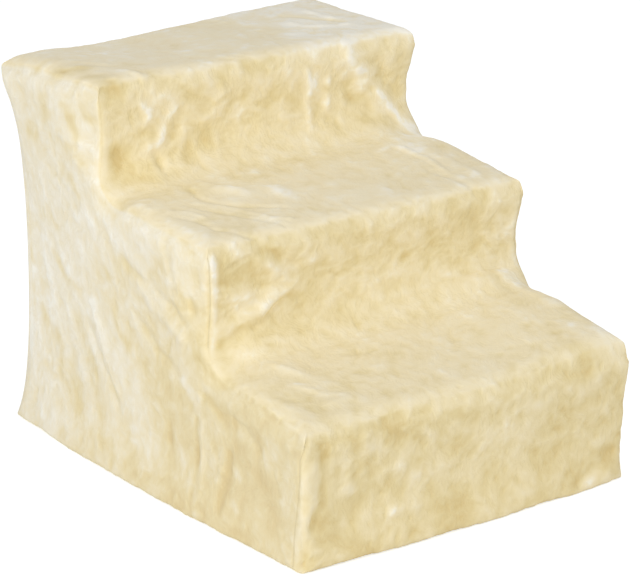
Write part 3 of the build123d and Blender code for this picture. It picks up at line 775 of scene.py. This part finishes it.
for foot, level in inner_corners:
    gap = np.hypot(rest[:, 1] - foot + 0.004, rest[:, 2] - level - 0.006)
    share = 0.8 * (1 - smooth_step(gap, 0.018, 0.034)) * smooth_step(np.abs(rest[:, 0]), 0.140, 0.160)
    moved = settled(moved, share, 24)


def lining_corner_cut(height):
    """How far the lining cuts the back corners: past the connectors, and nearer to the post."""
    clear = smooth_step(height, 0.045, 0.090) * (1 - smooth_step(height, 0.240, 0.285))
    return corner_cut + post_cut * clear


outer = (facing[:, 2] > -0.4) & (rest[:, 2] < 0.31)
clear_x, clear_y = lining_x + lining_gap, lining_back + lining_gap
on_side = (np.abs(facing[:, 0]) > 0.75) & outer
moved[:, 0] = np.where(on_side, side * np.maximum(np.abs(moved[:, 0]), clear_x), moved[:, 0])
on_back = (facing[:, 1] > 0.75) & outer
moved[:, 1] = np.where(on_back, np.maximum(moved[:, 1], clear_y), moved[:, 1])
into_side, into_back = clear_x - np.abs(moved[:, 0]), clear_y - moved[:, 1]
corner_line = lining_x + lining_back + corner_gap - lining_corner_cut(rest[:, 2])
into_corner = (corner_line - np.abs(moved[:, 0]) - moved[:, 1]) / 2
short = np.maximum(np.minimum(np.minimum(into_side, into_back), into_corner), 0)
short = short * outer * (rest[:, 1] > 0.15) * (np.abs(rest[:, 0]) > 0.12)
moved[:, 0] += side * short
moved[:, 1] += short
back_corner = (smooth_step(np.abs(rest[:, 0]), 0.120, 0.140) * smooth_step(rest[:, 1], 0.170, 0.190)
               * (1 - smooth_step(rest[:, 2], 0.300, 0.320)) * smooth_step(rest[:, 2], 0.020, 0.075))
moved = settled(moved, 0.7 * back_corner, 16)
moved[:, 2] = np.maximum(moved[:, 2], 0.0006)

# How far each place shows the tread colour, paler and greyer as painted sheen, or the paler side pile.
edge_noise = 0.012 * patch + 0.010 * wave
# The tread share picks out the upward faces, where the greyer tread colour paints sheen.
tread_share = smooth_step(facing[:, 2] + 0.30 * patch, 0.55, 0.95)
tread_share *= np.array((0.45, 0.85, 1.0))[tread_index] - 0.25 * to_right * (tread_index == 1)
for (foot, level), reach in zip(inner_corners, (0.030, 0.048)):
    climbs = smooth_step(rest[:, 1] + edge_noise, foot - reach - 0.018, foot - reach + 0.012)
    tread_share *= 1 - 0.8 * climbs * (np.abs(rest[:, 2] - level) < 0.03) * (rest[:, 1] < foot + 0.01)
creamy = np.zeros(len(rest))
for (foot, level), reach, share in zip(inner_corners, (0.030, 0.018), (0.75, 0.5)):
    creamy = np.maximum(creamy, share * hump(rest[:, 1] + edge_noise - foot, reach)
                        * smooth_step(rest[:, 2], level - 0.075, level + 0.015))
seam_low, seam_high = np.array((0, 0.149, 0.267)), np.array((0.115, 0.233, 0.336))
on_riser = (rest[:, 2] > seam_low[riser_index]) & (rest[:, 2] < seam_high[riser_index])
on_riser &= rest[:, 1] < fronts[riser_index] + 0.014
beyond = np.where(on_riser, across, np.abs(rest[:, 0]) - seam_line)
seam_fade = 1 + 20 * (1 - upright) + np.array((0.2, 0.0, 9.0))[riser_index]
# The tone attribute holds the pile's own tone together with the painted highlights and shade added to it.
mark = {"tone_and_light": tone_and_light, "tread": tread_share, "flank": side_face * (1 - creamy), "beyond": beyond,
        "seam": across * 1000 * seam_fade}
for name, values in mark.items():
    layer = skin.verts.layers.float.new(name)
    for vert, value in zip(skin.verts, values):
        vert[layer] = value
rest_layer = skin.verts.layers.float_vector.new("rest")
for vert, from_, to in zip(skin.verts, rest, moved):
    vert[rest_layer] = Vector(from_)
    vert.co = to
skin.normal_update()


# Plush cover, its finish: cream pile of polyester fur. Where the pile lies open it is pale, where it is
# crushed it is yellower and darker, and this tone also carries painted highlights and shade. On the treads
# it is painted greyer, as sheen.
plush, tree, shader, place = new_finish("cream_plush", 0.95, Specular_IOR_Level=0.08,
                                        Sheen_Weight=0.30, Sheen_Roughness=0.45,
                                        Sheen_Tint=(1.0, 0.95, 0.82, 1))
tone_and_light_in, on_tread, on_flank, off_seam = (add_node(tree, "Attribute", attribute_name=name).outputs["Fac"]
                                      for name in ("tone_and_light", "tread", "flank", "seam"))
swirl = grain(tree, place, 30, detail=2.0).outputs["Color"]
turned = add_node(tree, "MixRGB", {0: 0.03, 1: place, 2: swirl}).outputs[0]
hair = grain(tree, turned, 430, detail=3.0, stretch=(1, 1, 0.55)).outputs["Fac"]
tuft = grain(tree, turned, 150, detail=3.0, stretch=(1, 1, 0.8)).outputs["Fac"]
calm = in_range(tree, on_tread, 1.0, 0.6)
open_gain = in_range(tree, tone_and_light_in, 0.0, 0.7, -0.1, 0.9)
fine_gain = maths(tree, "MULTIPLY_ADD", open_gain, on_flank, calm)
hair_share = maths(tree, "MULTIPLY", in_range(tree, hair, -0.11, 0.11), fine_gain)
tuft_share = maths(tree, "MULTIPLY", in_range(tree, tuft, -0.16, 0.16), calm)
tone_and_light_share = in_range(tree, tone_and_light_in, 0.0, 1.0, -1.2, 1.2)
openness_and_light = maths(tree, "ADD", maths(tree, "ADD", tone_and_light_share, hair_share), tuft_share)


def pile_ramp(*colours):
    return ramp(tree, openness_and_light, list(zip((0.0, 0.25, 0.50, 0.70, 0.88, 1.0), colours)))


pile_colour = pile_ramp((0.72, 0.565, 0.27), (0.80, 0.67, 0.37), (0.875, 0.757, 0.48),
                        (0.905, 0.80, 0.555), (0.945, 0.875, 0.68), (0.965, 0.92, 0.80))
# Tread colour: paler and greyer than the pile, painted sheen.
tread_sheen_colour = pile_ramp((0.77, 0.62, 0.32), (0.865, 0.745, 0.465), (0.93, 0.82, 0.575),
                        (0.94, 0.85, 0.63), (0.965, 0.90, 0.74), (0.975, 0.94, 0.83))
side_colour = pile_ramp((0.75, 0.61, 0.34), (0.82, 0.705, 0.435), (0.875, 0.787, 0.573),
                        (0.90, 0.835, 0.668), (0.93, 0.88, 0.748), (0.955, 0.925, 0.82))
thread_colour = (0.66, 0.55, 0.33, 1)
first_mix = add_node(tree, "MixRGB", {0: on_tread, 1: pile_colour, 2: tread_sheen_colour}).outputs[0]
second_mix = add_node(tree, "MixRGB", {0: on_flank, 1: first_mix, 2: side_colour}).outputs[0]
sewn = in_range(tree, maths(tree, "ABSOLUTE", off_seam), 0.50, 0.0, 0.3, 1.3)
stitched = add_node(tree, "MixRGB", {0: sewn, 1: second_mix, 2: thread_colour}).outputs[0]
tree.links.new(stitched, shader.inputs["Base Color"])
coarse = raise_bump(tree, None, tuft, 0.0022, maths(tree, "MULTIPLY", calm, 0.40))
raise_bump(tree, shader, hair, 0.0007, maths(tree, "MULTIPLY", fine_gain, 0.50), under=coarse)

# The backing: a plain knit in the colour of the pile, which is locked into it. It is seen on the
# inside of the cover.
backing, tree, shader, place = new_finish("knit_backing", 0.9, Specular_IOR_Level=0.15)
weave = add_node(tree, "TexWave", {"Vector": place, "Scale": 420.0, "Distortion": 1.5,
                                   "Detail": 2.0}, bands_direction="Z").outputs["Fac"]
colour_by(tree, shader, weave, [(0.2, (0.62, 0.58, 0.48)), (0.8, (0.74, 0.70, 0.60))])
raise_bump(tree, shader, weave, 0.0005, 0.8)


# Plush cover, its panels: two sides, the long strip up the steps and over the top, and the
# back, sewn edge to edge. Each is pile on a knitted backing that hangs straight inside.
lining_low, lining_middle, lining_top = 0.110, 0.228, 0.331
lining_risers, lining_rise, lining_bend = (-0.0765, 0.0785), (0.1778, 0.0903), (0.0385, 0.0345)
hem_band = 0.004
merge_gap = 0.00005


def lining_span(start_y, start_z, riser_y, rise, bend):
    """The bend of the lining from a sloping tread that starts at a place up into a riser."""
    centre_y = riser_y - bend
    centre_z = start_z + rise * (centre_y - start_y) + bend * math.hypot(1, rise)
    return [(centre_y + bend * math.sin(a), centre_z - bend * math.cos(a))
            for a in np.linspace(math.atan(rise), math.pi / 2, 11)]


lining_line = [(lining_front, hem_level), (lining_front, lining_low)]
for riser_y, top, rise, bend in zip(lining_risers, (lining_middle, lining_top), lining_rise, lining_bend):
    lining_line += lining_span(*lining_line[-1], riser_y, rise, bend) + [(riser_y, top)]
lining_line += [(lining_back, lining_top), (lining_back, hem_level)]


def onto_lining(point):
    """The place inside the cover that a point of its edge is sewn back to."""
    px, py, pz = point
    if pz < hem_band:
        near_y, near_z = max(min(py, lining_back), lining_front), hem_level
    else:
        near_y, near_z, least = py, pz, 1e9
        for (ay, az), (by, bz) in zip(lining_line[:-1], lining_line[1:]):
            run = (by - ay) ** 2 + (bz - az) ** 2
            share = min(max(((py - ay) * (by - ay) + (pz - az) * (bz - az)) / max(run, 1e-12), 0), 1)
            cy, cz = ay + share * (by - ay), az + share * (bz - az)
            gap = (cy - py) ** 2 + (cz - pz) ** 2
            if gap < least:
                near_y, near_z, least = cy, cz, gap
    near_x = max(min(px, lining_x), -lining_x)
    over = abs(near_x) + near_y - (lining_x + lining_back - float(lining_corner_cut(near_z)))
    if over > 0:
        near_x -= math.copysign(over / 2, near_x)
        near_y -= over / 2
    return Vector((near_x, near_y, near_z))


def is_back(point):
    return point.y > 0.2 and point.y - back > point.z - tops[2]


def open_edges(built):
    return [e for e in built.edges if e.is_boundary]


def line_panel(name, keeps, settle):
    """A panel cut from the skin, with its edge turned in and its lining filled in or bridged."""
    panel = skin.copy()
    layer, past = panel.verts.layers.float_vector["rest"], panel.verts.layers.float["beyond"]
    away = []
    for face in panel.faces:
        centre = sum((v[layer] for v in face.verts), Vector()) / len(face.verts)
        if not keeps(centre, sum(v[past] for v in face.verts) > 0):
            away.append(face)
    bmesh.ops.delete(panel, geom=away, context="FACES")
    edge = open_edges(panel)
    for e in edge:
        e.smooth = False
    ring = verts_in(bmesh.ops.extrude_edge_only(panel, edges=edge)["geom"])
    for vert in ring:
        vert.co = onto_lining(vert[layer])
    if settle is None:
        for vert in ring:
            sign = math.copysign(1, vert.co.x)
            if vert[layer].z < hem_band:
                vert.co.x = sign * lining_x
            if abs(vert[layer].x) < seam_line - 0.001 and abs(vert.co.x) < lining_x - 0.0001:
                if vert[layer].y < 0:
                    vert.co = (sign * lining_x, lining_front, hem_level)
                else:
                    vert.co = (sign * (lining_x - corner_cut / 2), lining_back - corner_cut / 2,
                               lining_top)
    bmesh.ops.remove_doubles(panel, verts=ring, dist=merge_gap)
    inner = open_edges(panel)
    if settle is None:
        sides = [e for e in inner if e.verts[0].co.x * e.verts[1].co.x > 0]
        made = bmesh.ops.bridge_loops(panel, edges=sides)["faces"]
    else:
        first = dict.fromkeys(v for e in inner for v in e.verts)
        second = verts_in(bmesh.ops.extrude_edge_only(panel, edges=inner)["geom"])
        for vert in second:
            vert.co = settle(vert.co)
        bmesh.ops.remove_doubles(panel, verts=[*first, *second], dist=merge_gap)
        made = bmesh.ops.holes_fill(panel, edges=open_edges(panel), sides=0)["faces"]
    for face in panel.faces:
        face.material_index = 0
    for face in made:
        face.material_index = 1
        for e in face.edges:
            e.smooth = False
    return new_piece(name, panel, plush)


def settle_side(point):
    reach = lining_back - float(lining_corner_cut(point.z))
    return Vector((math.copysign(lining_x, point.x), min(point.y, reach), point.z))


def settle_back(point):
    reach = lining_x - float(lining_corner_cut(point.z))
    return Vector((max(min(point.x, reach), -reach), lining_back, point.z))


side_flat, side_area = (0.345, 0.455), 0.1135
panels = {
    "left_side": (lambda c, beyond: beyond and c.x < 0, settle_side, side_flat, side_area),
    "right_side": (lambda c, beyond: beyond and c.x > 0, settle_side, side_flat, side_area),
    "step_strip": (lambda c, beyond: not beyond and not is_back(c), None, (0.345, 0.780), None),
    "back": (lambda c, beyond: not beyond and is_back(c), settle_back, (0.345, 0.345), None),
}
for name, (keeps, settle, flat, area) in panels.items():
    panel_piece = line_panel("plush_" + name, keeps, settle)
    panel_piece.data.materials.append(backing)
    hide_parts("cover_" + name)
    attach(panel_piece, "cover")
skin.free()
